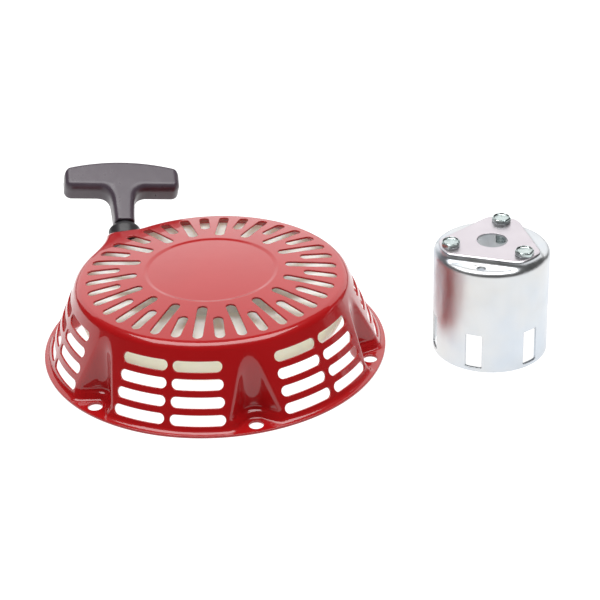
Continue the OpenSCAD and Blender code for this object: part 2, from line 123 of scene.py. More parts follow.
def flared(u, v, back_x, back_r, flare):
    """Distance in plan to a shape with a rounded back and two flared sides."""
    s, c = math.sin(math.radians(flare)), math.cos(math.radians(flare))
    qx, qy = u - back_x, np.abs(v)
    beside = -s * qx + c * qy
    along = c * qx + s * qy
    return np.where(along > 0, beside, np.hypot(qx, qy)) - back_r


def bay_offset(theta):
    """Angle in degrees from the nearest bay's middle."""
    return (theta - BAY_ANGLE + BAY_PITCH / 2) % BAY_PITCH - BAY_PITCH / 2


def dome_z(r):
    step = ease(r, DISC_R - 1.5, DISC_R + 1.5)
    return DOME_TOP - DOME_FALL * (r / DOME_REF) ** 2 - DISC_DROP * (1 - step)


def spout_field(x, y, z):
    """The short chute for the rope, closed by the plane that the guide sits on."""
    wall = WALL_R - WALL_LEAN * z
    across = (x - MOUTH[0]) * -ROPE_DIR[1] + (y - MOUTH[1]) * ROPE_DIR[0]
    lower = direction(118)
    front = x * lower[0] + y * lower[1] - (92.6 + 0.13 * (z - 13))
    mouth = (x - MOUTH[0]) * PULL[0] + (y - MOUTH[1]) * PULL[1] + (z - MOUTH[2]) * PULL[2] - GUIDE_SEAT
    near_right = direction(98.7)
    right = np.maximum(x * near_right[0] + y * near_right[1] - wall, -across - 2 * SPOUT_HALF)
    body = smooth_max(smooth_max(across - SPOUT_HALF, mouth, 4.5), smooth_max(right, front, 4), 4)
    along = (x - MOUTH[0]) * ROPE_DIR[0] + (y - MOUTH[1]) * ROPE_DIR[1]
    return np.maximum(body, -45 - along), across


def cover_field(p):
    x, y, z = p[:, 0], p[:, 1], p[:, 2]
    r = np.hypot(x, y)
    wall = (r - (WALL_R - WALL_LEAN * z)) * math.cos(WALL_ANGLE)
    spout, across = spout_field(x, y, z)
    side = smooth_min(wall, spout, 1.5 + 8 * ease(across, -3, 6))
    top = (z - dome_z(r)) * 0.989
    body = round_both(top, side, SHOULDER_R, 0.518)
    phi = np.radians(bay_offset(np.degrees(np.arctan2(y, x))))
    u, v = r * np.cos(phi), r * np.sin(phi)
    bay = flared(u, v, BAY_CENTRE, BAY_BACK_R, BAY_FLARE)
    pad = flared(u, v, BOLT_CIRCLE_R, PAD_R, PAD_FLARE)
    floor = BAY_FLOOR + 0.35 * np.exp(-(((pad - 1.0) / 1.0) ** 2))
    body = smooth_max(body, -round_both(bay, floor - z, 3.6, 0.0), 2.0)
    body = smooth_max(body, -pad, 2.4)
    return smooth_min(body, z - FLANGE_T, 3.2)


# ---------- sheet shells made by casting rays at a field ----------


def cast(field, origin, step, reach, inside):
    """Points where rays first leave (inside) or meet (not inside) the field's solid."""
    near, far = np.zeros(len(origin)), np.full(len(origin), float(reach))
    for _ in range(20):
        middle = (near + far) / 2
        value = field(origin + middle[:, None] * step)
        before = value < 0 if inside else value > 0
        near, far = np.where(before, middle, near), np.where(before, far, middle)
    return origin + near[:, None] * step


def outward(field, p):
    """Unit normals from the field's slope."""
    e = 0.05
    slope = np.empty_like(p)
    for axis in range(3):
        shift = np.zeros(3)
        shift[axis] = e
        slope[:, axis] = field(p + shift) - field(p - shift)
    return slope / np.maximum(np.linalg.norm(slope, axis=1, keepdims=True), 1e-9)


def polar(theta, r, z):
    a = np.radians(theta)
    return np.stack([r * np.cos(a), r * np.sin(a), np.broadcast_to(z, np.shape(a))], -1)


class Shell:
    """A sheet of metal: an outer skin, an inner skin, and the rims of its openings."""

    def __init__(self, field, thickness, base_z, base_r):
        self.field, self.thickness = field, thickness
        self.base_z, self.base_r = base_z, base_r
        self.points, self.normals, self.faces, self.count = [], [], [], 0

    def from_below(self, theta, r):
        p = polar(theta, r, self.base_z)
        return cast(self.field, p, np.broadcast_to([0.0, 0, 1], p.shape), 70, True)

    def from_axis(self, theta, z):
        p = polar(theta, self.base_r, z)
        return cast(self.field, p, polar(theta, 1.0, 0.0), 60, True)

    def from_above(self, theta, r, z=12.0):
        p = polar(theta, r, z)
        return cast(self.field, p, np.broadcast_to([0.0, 0, -1], p.shape), 30, False)

    def add(self, p, n):
        start = self.count
        self.points.append(p)
        self.normals.append(n)
        self.count += len(p)
        return np.arange(start, self.count)

    def add_pair(self, p):
        """Outer and inner vertices for the same places."""
        n = outward(self.field, p)
        t = self.thickness(p)[:, None]
        return self.add(p, n), self.add(p - t * n, -n)

    def strip(self, a, b, closed=True):
        """Quads between two rows of vertices."""
        if closed:
            a, b = np.append(a, a[0]), np.append(b, b[0])
        self.faces.append(np.stack([a[:-1], a[1:], b[1:], b[:-1]], -1))

    def grid(self, points, holes=()):
        """Closed rows of vertices, left open where a hole's block of cells is."""
        columns = len(points[0])
        pairs = [self.add_pair(p) for p in points]
        outer = np.array([a for a, _ in pairs])
        inner = np.array([b for _, b in pairs])
        keep = np.ones((len(points) - 1, columns), bool)
        for j0, j1, i0, i1 in holes:
            keep[j0:j1, np.arange(i0, i1) % columns] = False
        jj, ii = np.nonzero(keep)
        nxt = (ii + 1) % columns
        for skin, order in ((outer, (0, 1, 2, 3)), (inner, (0, 3, 2, 1))):
            corners = (skin[jj, ii], skin[jj + 1, ii], skin[jj + 1, nxt], skin[jj, nxt])
            self.faces.append(np.stack([corners[k] for k in order], -1))
        return outer, inner

    def opening(self, outer, inner, block, place, local, spine, radius):
        """Fills a block of cells around an opening with a rounded outline, rim included."""
        j0, j1, i0, i1 = block
        columns = outer.shape[1]
        loop = [(j0, i) for i in range(i0, i1)] + [(j, i1) for j in range(j0, j1)]
        loop += [(j1, i) for i in range(i1, i0, -1)] + [(j, i0) for j in range(j1, j0, -1)]
        loop = np.array(loop)
        jj, ii = loop[:, 0], loop[:, 1] % columns
        outer_loop, inner_loop = outer[jj, ii], inner[jj, ii]
        edge = local(np.concatenate(self.points)[outer_loop])
        low, high = np.array(spine[::2]), np.array(spine[1::2])
        centre = np.clip(edge, low, high)
        away = edge - centre
        room = np.linalg.norm(away, axis=1, keepdims=True)
        away = away / room
        room = room - radius

        def at(distance):
            return place(centre + away * (radius + distance))

        rim_out = np.minimum(0.45, room * 0.4)
        rows_out, rows_in = [outer_loop], [inner_loop]
        for share in (0.72, 0.45, 0.2):
            if np.median(room) > 2 or share == 0.45:
                a, b = self.add_pair(at(np.maximum(room * share, rim_out * 1.3)))
                rows_out.append(a)
                rows_in.append(b)
        p0, p1 = at(rim_out), at(rim_out * 0)
        n = outward(self.field, p1)
        m = p0 - p1
        m = m - (m * n).sum(1, keepdims=True) * n
        m = m / np.linalg.norm(m, axis=1, keepdims=True)
        t = self.thickness(p1)[:, None]
        rim = [(1, 0, 0.0), (0.5, 0.03, 0.35), (0.13, 0.13, 0.75), (0, 0.34, 1.0)]
        for reach, depth, turn in rim:
            p = p1 + m * rim_out * reach
            if reach:
                p = at(rim_out * reach)
            rows_out.append(self.add(p - n * depth, n * (1 - turn) - m * turn))
        for reach, depth, turn in rim:
            p = at(rim_out * reach) if reach else p1
            rows_in.append(self.add(p - n * (t - depth), -n * (1 - turn) - m * turn))
        for a, b in zip(rows_out[:-1], rows_out[1:]):
            self.strip(b, a)
        for a, b in zip(rows_in[:-1], rows_in[1:]):
            self.strip(a, b)
        self.strip(rows_in[-1], rows_out[-1])

    def piece(self, name):
        points, faces, normals = (np.concatenate(rows) for rows in (self.points, self.faces, self.normals))
        return build(name, points, faces, normals)


def build(name, points, faces, normals=None):
    """A mesh object from points in millimetres, with the vertices that no face uses left out."""
    used, back = np.unique(np.asarray(faces).ravel(), return_inverse=True)
    faces = back.reshape(np.shape(faces))
    mesh = bpy.data.meshes.new(name)
    mesh.from_pydata((points[used] * MM).tolist(), [], faces.tolist())
    mesh.polygons.foreach_set("use_smooth", np.ones(len(mesh.polygons), bool))
    if normals is not None:
        n = normals[used]
        n = n / np.maximum(np.linalg.norm(n, axis=1, keepdims=True), 1e-9)
        mesh.normals_split_custom_set_from_vertices(n.tolist())
    mesh.validate()
    obj = bpy.data.objects.new(name, mesh)
    bpy.context.scene.collection.objects.link(obj)
    return obj


# ---------- the cover ----------


def spaced(*stops):
    """Numbers from stop to stop: value, steps, value, steps, value ..."""
    out = [stops[0]]
    for k in range(1, len(stops) - 1, 2):
        out += list(np.linspace(out[-1], stops[k + 1], stops[k] + 1)[1:])
    return np.array(out)


def make_cover():
    def thickness(p):
        return SHEET_T + (FLANGE_T - SHEET_T) * (1 - ease(p[:, 2], 2, 6))

    shell = Shell(cover_field, thickness, 20.0, 60.0)
    sector = spaced(-9.5, 12, -5, 26, 5, 12, 9.5, 82, 50.5)[:-1]
    per = len(sector)
    theta = np.concatenate([BAY_ANGLE + k * BAY_PITCH + sector for k in range(6)])
    columns = len(theta)

    def column(offset, bay=0):
        """Column at an angle from the middle of a bay."""
        return bay * per + int(np.argmin(np.abs(sector - (offset + 9.5) % BAY_PITCH + 9.5)))

    # top: rings from the middle out to the shoulder
    top_r = spaced(2.5, 2, 12, 3, 30, 3, 35.6, 9, 39.4, 1, 41.2, 22, 74.15)
    first_slot_row = int(np.argmin(np.abs(top_r - 41.2)))
    rows = [shell.from_below(theta, r) for r in top_r]
    last_top = len(rows) - 1

    # shoulder: a fan of rays whose ends are spread evenly along the section
    fan_r, fan_z, fan_steps = 74.15, 39.5, 13
    reach = np.hypot(*shell.from_axis(theta, fan_z)[:, :2].T) - fan_r
    rise = shell.from_below(theta, fan_r)[:, 2] - fan_z
    for k in range(1, fan_steps):
        s = k / fan_steps * (reach + rise)
        across = np.minimum(s, reach)
        up = np.where(s < reach, rise, rise - (s - reach))
        p = polar(theta, fan_r, fan_z)
        d = polar(theta, across, 0.0) + np.stack([0 * up, 0 * up, up], -1)
        d = d / np.linalg.norm(d, axis=1, keepdims=True)
        rows.append(cast(cover_field, p, d, 60, True))

    # wall: level rays, down to a foot height that is greater in the bays
    inside_bay = 1 - ease(np.abs(bay_offset(theta)), 6.0, 9.4)
    foot_z = 3.6 + 3.6 * inside_bay
    first_wall = len(rows)
    wall_z = spaced(39.5, 8, 30.35, 8, 21.25, 8, 12.15, 8, 3.6)
    for z in wall_z:
        share = (z - 3.6) / (39.5 - 3.6)
        rows.append(shell.from_axis(theta, foot_z + share * (39.5 - foot_z)))

    # foot: a fan of rays into the corner between wall and floor
    corner_r = np.hypot(*rows[-1][:, :2].T) + 2.2 + 1.3 * inside_bay
    for k in range(1, 8):
        a = math.pi + k / 8 * math.pi / 2
        p = polar(theta, corner_r, 0.0) + np.stack([0 * foot_z, 0 * foot_z, foot_z], -1)
        d = polar(theta, math.cos(a), math.sin(a))
        rows.append(cast(cover_field, p, d, 30, False))

    # flange: rays from above, closer together near the foot
    first_floor = len(rows)
    floor_share = np.concatenate([np.linspace(0, 0.34, 11), np.linspace(0.34, 1, 12)[1:]])
    for share in floor_share:
        rows.append(shell.from_above(theta, corner_r + share * (99.5 - corner_r)))

    holes, jobs = [], []

    def plan_opening(block, angle, spine, radius, above):
        """An opening cut straight down: its local axes lie in plan, the first one radial."""
        a = math.radians(angle)
        c, s = math.cos(a), math.sin(a)

        def local(p):
            return np.stack([p[:, 0] * c + p[:, 1] * s, -p[:, 0] * s + p[:, 1] * c], -1)

        def place(q):
            x, y = q[:, 0] * c - q[:, 1] * s, q[:, 0] * s + q[:, 1] * c
            t, r = np.degrees(np.arctan2(y, x)), np.hypot(x, y)
            return shell.from_above(t, r) if above else shell.from_below(t, r)

        holes.append(block)
        jobs.append((block, place, local, spine, radius))

    def wall_opening(block, angle, z, length):
        """An opening cut square to the wall: its local axes are around and up the wall."""

        def local(p):
            t = np.arctan2(p[:, 1], p[:, 0]) - math.radians(angle)
            t = (t + math.pi) % (2 * math.pi) - math.pi
            around, up = np.hypot(p[:, 0], p[:, 1]) * np.sin(t), (p[:, 2] - z) / math.cos(WALL_ANGLE)
            return np.stack([around, up], -1)

        def place(q):
            height = z + q[:, 1] * math.cos(WALL_ANGLE)
            t = np.degrees(np.arcsin(np.clip(q[:, 0] / (WALL_R - WALL_LEAN * height), -1, 1)))
            return shell.from_axis(angle + t, height)

        radius = SIDE_SLOT_H / 2
        half = length / 2 - radius
        holes.append(block)
        jobs.append((block, place, local, (-half, half, 0, 0), radius))

    for bay in range(6):
        for k in range(6):
            offset = 10 * k
            angle = BAY_ANGLE + bay * BAY_PITCH + offset
            inner = LONG_INNER if k % 2 == 0 else SHORT_INNER
            i0 = column(offset - 5, bay)
            i1 = i0 + (26 if k == 0 else column(offset + 5) - column(offset - 5))
            if k == 5:
                i1 = (bay + 1) * per + column(-5)
            spine = (inner + SLOT_W / 2, SLOT_OUTER - SLOT_W / 2, 0, 0)
            plan_opening((first_slot_row, last_top, i0, i1), angle, spine, SLOT_W / 2, False)
        middle = column(0, bay)
        hole_rows = (first_floor + 4, first_floor + 21)
        plan_opening(
            (*hole_rows, middle - 10, middle + 10),
            BAY_ANGLE + bay * BAY_PITCH,
            (BOLT_CIRCLE_R, BOLT_CIRCLE_R, 0, 0),
            BOLT_HOLE_R,
            True,
        )
        for side in (-1, 1):
            for row in range(4):
                if bay == 1 and (row > 0 or side > 0):
                    continue
                z = SIDE_ROW_Z + row * SIDE_ROW_STEP
                i0 = column(9.5 if side < 0 else 30, bay)
                length = 2 * (WALL_R - WALL_LEAN * z) * math.sin(math.radians(SIDE_SLOT_ANGLE / 2))
                block = (first_wall + 8 * (3 - row), first_wall + 8 * (4 - row), i0, i0 + 41)
                angle = BAY_ANGLE + (bay + 0.5) * BAY_PITCH + side * SIDE_SLOT_PITCH / 2
                wall_opening(block, angle, z, length)

    outer, inner = shell.grid(rows, holes)
    for job in jobs:
        shell.opening(outer, inner, *job)

    # middle of the top, closed with one point
    for skin, flip in ((outer, False), (inner, True)):
        z = shell.from_below(np.zeros(1), np.zeros(1))[0, 2] - (SHEET_T if flip else 0)
        centre = shell.add(np.array([[0, 0, z]]), np.array([[0, 0, -1.0 if flip else 1.0]]))[0]
        a, b = skin[0], np.roll(skin[0], -1)
        middle = np.full(columns // 2, centre)
        pairs = np.stack([middle, a[::2], b[::2], b[1::2]], -1)
        shell.faces.append(pairs[:, ::-1] if flip else pairs)

    # edge of the flange
    ring = [(99.8, 1.33, 0.45), (99.95, 1.12, 0.85), (100, 0.8, 1.0), (100, 0.45, 1.0), (99.9, 0.15, 1.2)]
    last = outer[-1]
    for r, z, turn in ring:
        lean = turn * math.pi / 2
        n = polar(theta, math.sin(lean), math.cos(lean))
        row = shell.add(polar(theta, r, z), n)
        shell.strip(last, row)
        faces = shell.faces.pop()
        shell.faces.append(faces[:, ::-1])
        last = row
    shell.strip(inner[-1], last)
    return shell.piece("cover")


cover = make_cover()
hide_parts("housing")
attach(cover, "cover")


# ---------- the starter cup ----------


def cup_field(p):
    x, y, z = p[:, 0], p[:, 1], p[:, 2]
    r = np.hypot(x, y)
    body = round_both(r - CUP_R, z - CUP_RIM_Z, CUP_EDGE_R, 0.0)
    spread = 0.28 * np.clip(CUP_TOP_Z - z, 0, 5)
    plan = r - (CUP_R - 2.6) - 0.6 * spread
    for k in range(3):
        d = direction(CUP_BOLT_ANGLE + 180 + 120 * k)
        plan = smooth_max(plan, x * d[0] + y * d[1] - CUP_TRIANGLE_R - spread, 2.5)
    raised = round_both(plan, z - CUP_TOP_Z, 1.3, 0.0)
    return smooth_min(body, raised, 2.6)


def make_cup():
    shell = Shell(cup_field, lambda p: np.full(len(p), CUP_T), 20.0, 20.0)
    theta = np.arange(360.0)
    fan_r, fan_z = 25.0, 56.0
    rows = [shell.from_below(theta, r) for r in spaced(CUP_BORE_R + 0.35, 10, 17.0, 32, fan_r)]
    for a in np.radians(spaced(90, 34, 52, 26, 20, 5, 0)[1:]):
        d = polar(theta, math.cos(a), math.sin(a))
        rows.append(cast(cup_field, polar(theta, fan_r, fan_z), d, 40, True))
    last_fan = len(rows) - 1
    for z in spaced(fan_z, 14, 26.0, 14, 1.3, 2, 0.4)[1:]:
        rows.append(shell.from_axis(theta, z))
    holes, jobs = [], []

    def window(angle):
        a = math.radians(angle)

        def local(p):
            t = (np.arctan2(p[:, 1], p[:, 0]) - a + math.pi) % (2 * math.pi) - math.pi
            return np.stack([CUP_R * t, p[:, 2] - WINDOW_Z], -1)

        def place(q):
            return shell.from_axis(angle + np.degrees(q[:, 0] / CUP_R), q[:, 1] + WINDOW_Z)

        wide, high = WINDOW_HALF_W - WINDOW_CORNER, WINDOW_HALF_H - WINDOW_CORNER
        holes.append((last_fan + 14, last_fan + 28, int(angle - 12), int(angle + 12)))
        jobs.append((holes[-1], place, local, (-wide, wide, -high, high), WINDOW_CORNER))

    def drain():
        angle = CUP_BOLT_ANGLE + 180
        c, s = direction(angle)[:2]
        middle = int(angle)

        def local(p):
            return np.stack([p[:, 0] * c + p[:, 1] * s, -p[:, 0] * s + p[:, 1] * c], -1)

        def place(q):
            x, y = q[:, 0] * c - q[:, 1] * s, q[:, 0] * s + q[:, 1] * c
            return shell.from_below(np.degrees(np.arctan2(y, x)), np.hypot(x, y))

        sections = np.array([np.hypot(row[middle, 0], row[middle, 1]) for row in rows[: last_fan + 1]])
        j0, j1 = (int(np.searchsorted(sections, DRAIN_AT + side)) for side in (-3, 3))
        holes.append((j0, j1, middle - 7, middle + 8))
        jobs.append((holes[-1], place, local, (DRAIN_AT, DRAIN_AT, 0, 0), DRAIN_R))

    for k in range(6):
        window(7.5 + 60 * k)
    drain()
    outer, inner = shell.grid(rows, holes)
    for job in jobs:
        shell.opening(outer, inner, *job)

    def rim(section, first, last):
        """Closes an edge with rings through (radius, height, normal's radius and height)."""
        rings = [first]
        for r, z, nr, nz in section:
            n = polar(theta, float(nr), float(nz))
            rings.append(shell.add(polar(theta, r, z), n))
        rings.append(last)
        for a, b in zip(rings[:-1], rings[1:]):
            shell.strip(b, a)

    foot_r = CUP_R - CUP_T
    foot = [
        (CUP_R - 0.08, 0.12, 1, -0.5),
        (CUP_R - 0.35, 0, 0, -1),
        (foot_r + 0.35, 0, 0, -1),
        (foot_r + 0.08, 0.12, -1, -0.5),
    ]
    rim(foot, outer[-1], inner[-1])
    low = CUP_TOP_Z - CUP_T
    bore = [
        (CUP_BORE_R, low + 0.3, -1, 0),
        (CUP_BORE_R, CUP_TOP_Z - 0.3, -1, 0),
        (CUP_BORE_R + 0.1, CUP_TOP_Z - 0.08, -1, 1),
    ]
    rim(bore, inner[0], outer[0])
    cup = shell.piece("cup_shell")
    cup.location = CUP_AT * MM
    return cup


# ---------- turned pieces ----------


def revolve(name, profile, matrix, columns=96, outline=None, copies=(Matrix(),)):
    """A closed piece turned about Z from (radius, height) points.

    outline may change the radius with the angle. A profile that ends where it starts is a
    ring; any other one is closed with a flat cap at each end.
    """
    ring_like = profile[0] == profile[-1]
    rows = profile[:-1] if ring_like else profile
    a = np.arange(columns) * 2 * math.pi / columns
    i = np.arange(columns)
    j = (i + 1) % columns
    even = np.arange(0, columns, 2)
    points, faces = [], []
    for copy in copies:
        start = sum(len(p) for p in points)
        turn, shift = np.array(copy.to_3x3()).T, np.array(copy.translation)
        for r, z in rows:
            radius = np.full(columns, float(r)) if outline is None else outline(a, r, z)
            ring = np.stack([radius * np.cos(a), radius * np.sin(a), np.full(columns, float(z))], -1)
            points.append(ring @ turn + shift)
        for k in range(len(rows) if ring_like else len(rows) - 1):
            low, high = start + k * columns, start + (k + 1) % len(rows) * columns
            faces.append(np.stack([low + i, high + i, high + j, low + j], -1))
        if ring_like:
            continue
        for cap, row in enumerate((0, len(rows) - 1)):
            points.append(np.array([[0, 0, float(rows[row][1])]]) @ turn + shift)
            centre = np.full(len(even), start + len(rows) * columns + cap)
            ring = start + row * columns
            quads = np.stack([centre, ring + even, ring + even + 1, ring + (even + 2) % columns], -1)
            faces.append(quads[:, ::-1] if cap else quads)
    obj = build(name, np.concatenate(points), np.concatenate(faces))
    obj.matrix_world = matrix
    return obj


def along_grip(twist=0.0):
    """Matrix of the rope's way out: Z runs out of the guide and -X is the grip's front."""
    z = Vector(PULL)
    y = Vector((-ROPE_DIR[1], ROPE_DIR[0], 0))
    x = y.cross(z)
    turn = Matrix((x, y, z)).transposed().to_4x4()
    return Matrix.Translation(Vector(MOUTH) * MM) @ turn @ Matrix.Rotation(math.radians(twist), 4, "Z")


def make_guide():
    """The bush in the chute's mouth: bore, rounded lip, long collar, seat, and the neck inside."""
    profile = [
        (2.9, -6.9), (2.9, -2), (2.9, 3), (2.9, 6.6),
        (3.1, 7.2), (3.6, 7.55), (4.4, 7.6), (5.4, 7.6), (6.1, 7.5),
        (6.7, 7.4), (7.25, 7.1), (7.8, 6.55), (8.3, 5.9), (8.75, 5.35), (9.2, 4.85), (9.6, 4.3),
        (9.78, 3.7), (9.8, 2.8), (9.8, 1.2), (9.8, -0.4), (9.8, -2.0),
        (9.6, -2.35), (9.2, -2.45), (8.4, -2.45), (7.95, -2.5),
        (7.95, -4), (7.95, -6.6), (7.6, -6.95), (6, -7), (4, -7), (2.9, -6.9),
    ]
    smooth = []
    for (r0, z0), (r1, z1) in zip(profile[:-1], profile[1:]):
        smooth += [(r0, z0), ((r0 + r1) / 2, (z0 + z1) / 2)]
    smooth.append(profile[-1])
    return revolve("guide_bell", smooth, along_grip(), 96)


def make_bolts():
    """Three hexagon bolts with a dished head, a chamfer and a threaded shank."""
    corner_r, shank_r, thread_depth = 5.8, 3.0, 0.32

    def outline(a, r, z):
        sector = (a + math.pi / 6) % (math.pi / 3) - math.pi / 6
        hexagon = smooth_min(BOLT_FLATS / 2 / np.cos(sector), np.full(len(a), 5.42), 0.4)
        if z > 0 and r > 4.78:
            return np.minimum(hexagon * min(r / corner_r, 1), r)
        if z < -0.9 and r > 2.6:
            wave = np.abs(((z / BOLT_PITCH - a / (2 * math.pi)) % 1) - 0.5) * 2
            return r - thread_depth * wave
        return np.full(len(a), float(r))

    dish = [(1.5, 1.91), (2.9, 1.95), (3.6, 2.04), (4.0, 2.2), (4.22, 2.45), (4.36, 2.7), (4.48, 2.87)]
    lip = [(4.62, 2.95), (4.76, 2.95), (4.95, 2.88), (5.2, 2.72), (5.5, 2.5), (corner_r, 2.2)]
    flats = [(corner_r, 1.7), (corner_r, 1.1), (corner_r, 0.5), (5.75, 0.25), (5.6, 0.08), (4.5, 0.04)]
    thread = [(shank_r, 0.0), (shank_r, -0.85)] + [(shank_r, z) for z in np.linspace(-1.0, -13.2, 98)]
    tip = [(2.65, -13.5), (2.2, -13.8), (1.2, -14)]
    copies = []
    for k, turned in enumerate((8, 33, 21)):
        angle = CUP_BOLT_ANGLE + 120 * k
        at = CUP_BOLT_R * direction(angle) + [0, 0, CUP_TOP_Z]
        turn = Matrix.Rotation(math.radians(angle + turned), 4, "Z")
        copies.append(Matrix.Translation(Vector(at)) @ turn)
    profile = dish + lip + flats + thread + tip
    return revolve("hex_bolts", profile, Matrix.Translation(Vector(CUP_AT * MM)), 72, outline, copies)


# ---------- the grip ----------


def grip_field(p):
    """The moulded T-grip: x points to its back, y across, z out along the stem."""
    n, w, s = -p[:, 0], np.abs(p[:, 1]), p[:, 2]
    top = s - (GRIP_TOP - 3.9 * (w / 31) ** 2)
    under = GRIP_UNDER - s
    ends = w - GRIP_HALF_W
    stem = w - (6.75 + 1.3 * ease(s, 10, 34))
    bar_low = round_both(ends, under, 5.0, 0.0)
    plan_low = smooth_min(bar_low, stem, 8.5)
    plan = round_both(plan_low, top, 3.4, 0.0)
    depth, inset = 2.4, 2.9
    slant = math.hypot(depth, inset)
    chamfer = (plan_low * depth + (n - GRIP_HALF_T) * inset + depth * inset) / slant
    front = smooth_max(n - GRIP_HALF_T, chamfer, 1.0)
    front = smooth_max(smooth_max(front, plan_low, 2.4), plan, 1.4)
    back = smooth_max(-n - GRIP_HALF_T, plan, 4.0)
    body = np.maximum(front, back)
    body = smooth_max(body, GRIP_BASE - s, 1.2)
    axis = np.hypot(n, w)
    body = smooth_max(body, -np.maximum(axis - 2.7, s - 13), 0.8)
    return smooth_max(body, -np.maximum(axis - 5.6, 38.4 - s), 1.0)


def surface_net(field, low, high, step):
    """Quads over the zero level of a field, one vertex to each grid cell that it crosses."""
    axes = [np.arange(a, b + step, step) for a, b in zip(low, high)]
    shape = tuple(len(a) for a in axes)
    where = np.stack(np.meshgrid(*axes, indexing="ij"), -1)
    value = field(where.reshape(-1, 3)).reshape(shape)
    total = np.zeros((*[n - 1 for n in shape], 3))
    count = np.zeros([n - 1 for n in shape])
    cell = np.full(shape, -1)

    def cut(array, axis, a, b):
        return array[tuple(slice(a, b) if k == axis else slice(None) for k in range(3))]

    crossings = []
    for axis in range(3):
        v0, v1 = cut(value, axis, None, -1), cut(value, axis, 1, None)
        cross = (v0 < 0) != (v1 < 0)
        t = np.where(cross, v0 / np.where(cross, v0 - v1, 1), 0)
        at = cut(where, axis, None, -1) * (1 - t[..., None]) + cut(where, axis, 1, None) * t[..., None]
        crossings.append((cross, v0 < 0))
        b, c = [k for k in range(3) if k != axis]
        for i in (0, 1):
            for j in (0, 1):
                start = {b: i, c: j}
                pick = tuple(
                    slice(None) if k == axis else slice(start[k], shape[k] - 1 + start[k]) for k in range(3)
                )
                count += cross[pick]
                total += np.where(cross[pick][..., None], at[pick], 0)
    used = np.argwhere(count > 0)
    cell[tuple(used.T)] = np.arange(len(used))
    points = total[tuple(used.T)] / count[tuple(used.T)][:, None]
    faces = []
    for axis, (cross, inside) in enumerate(crossings):
        b, c = (axis + 1) % 3, (axis + 2) % 3
        at = np.argwhere(cross)
        at = at[(at[:, b] > 0) & (at[:, c] > 0)]
        flip = ~inside[tuple(at.T)]
        e, f = np.eye(3, dtype=int)[b], np.eye(3, dtype=int)[c]
        quad = np.stack([cell[tuple((at - d).T)] for d in (e + f, f, 0 * e, e)], -1)
        faces.append(np.where(flip[:, None], quad[:, ::-1], quad))
    for _ in range(3):
        slope = outward(field, points)
        points = points - np.clip(field(points), -step, step)[:, None] * slope
    return points, np.concatenate(faces)


def make_grip():
    low = (-GRIP_HALF_T - 1, -GRIP_HALF_W - 1, GRIP_BASE - 1)
    high = (GRIP_HALF_T + 1, GRIP_HALF_W + 1, GRIP_TOP + 1)
    points, faces = surface_net(grip_field, low, high, 0.6)
    grip = build("t_grip", points, faces, outward(grip_field, points))
    grip.matrix_world = along_grip(GRIP_TWIST)
    return grip


# ---------- the rope ----------


def make_rope():
    """The rope from its outermost turn on the reel, through the guide, to the knot in the grip."""
    bend_r, last = 14.0, 40.0
    climb = math.radians(GUIDE_CLIMB)
    straight = bend_r * math.tan(climb / 2)
    corner_t = MOUTH_T - MOUTH_RISE / math.tan(climb)
    path = [(t, 0.0) for t in np.linspace(0.3, corner_t - straight, 60)]
    for a in np.linspace(0, climb, 13)[1:]:
        path.append((corner_t - straight + bend_r * math.sin(a), bend_r * (1 - math.cos(a))))
    t0, z0 = path[-1]
    end = (MOUTH_T + last * math.cos(climb), MOUTH_RISE + last * math.sin(climb))
    for k in np.linspace(0, 1, 140)[1:]:
        path.append((t0 + k * (end[0] - t0), z0 + k * (end[1] - z0)))
    path = np.array(path)
    way = np.gradient(path, axis=0)
    way /= np.linalg.norm(way, axis=1, keepdims=True)
    sides = 24
    a = np.arange(sides) * 2 * math.pi / sides
    side = np.array([-ROPE_DIR[1], ROPE_DIR[0], 0])
    rings = []
    for (t, z), (wt, wz) in zip(path, way):
        centre = ROPE_START + t * ROPE_DIR + [0, 0, z]
        up = -wz * ROPE_DIR + [0, 0, wt]
        rings.append(centre + ROPE_D / 2 * (np.cos(a)[:, None] * up + np.sin(a)[:, None] * side))
    points = np.concatenate(rings + [rings[0].mean(0)[None], rings[-1].mean(0)[None]])
    i = np.arange(sides)
    j = (i + 1) % sides
    faces = []
    for k in range(len(rings) - 1):
        low, high = k * sides, (k + 1) * sides
        faces += np.stack([low + i, high + i, high + j, low + j], -1).tolist()
    first, final = len(points) - 2, len(points) - 1
    top = (len(rings) - 1) * sides
    faces += [[first, m, n] for m, n in zip(i.tolist(), j.tolist())]
    faces += [[final, top + n, top + m] for m, n in zip(i.tolist(), j.tolist())]
    mesh = bpy.data.meshes.new("pull_rope")
    mesh.from_pydata((points * MM).tolist(), [], faces)
    mesh.polygons.foreach_set("use_smooth", np.ones(len(mesh.polygons), bool))
    rope = bpy.data.objects.new("pull_rope", mesh)
    bpy.context.scene.collection.objects.link(rope)
    return rope


def stand_for(piece, node, body):
    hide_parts(node)
    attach(piece, body)
    return piece


cup = stand_for(make_cup(), "starter_cup", "cup")
bolts = stand_for(make_bolts(), "cup_bolts", "cup")
guide = stand_for(make_guide(), "rope_guide", "cover")
grip = stand_for(make_grip(), "grip", "grip")
rope = make_rope()
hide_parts("rope_lead")
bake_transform(rope)


# ---------- camera, floor and light ----------


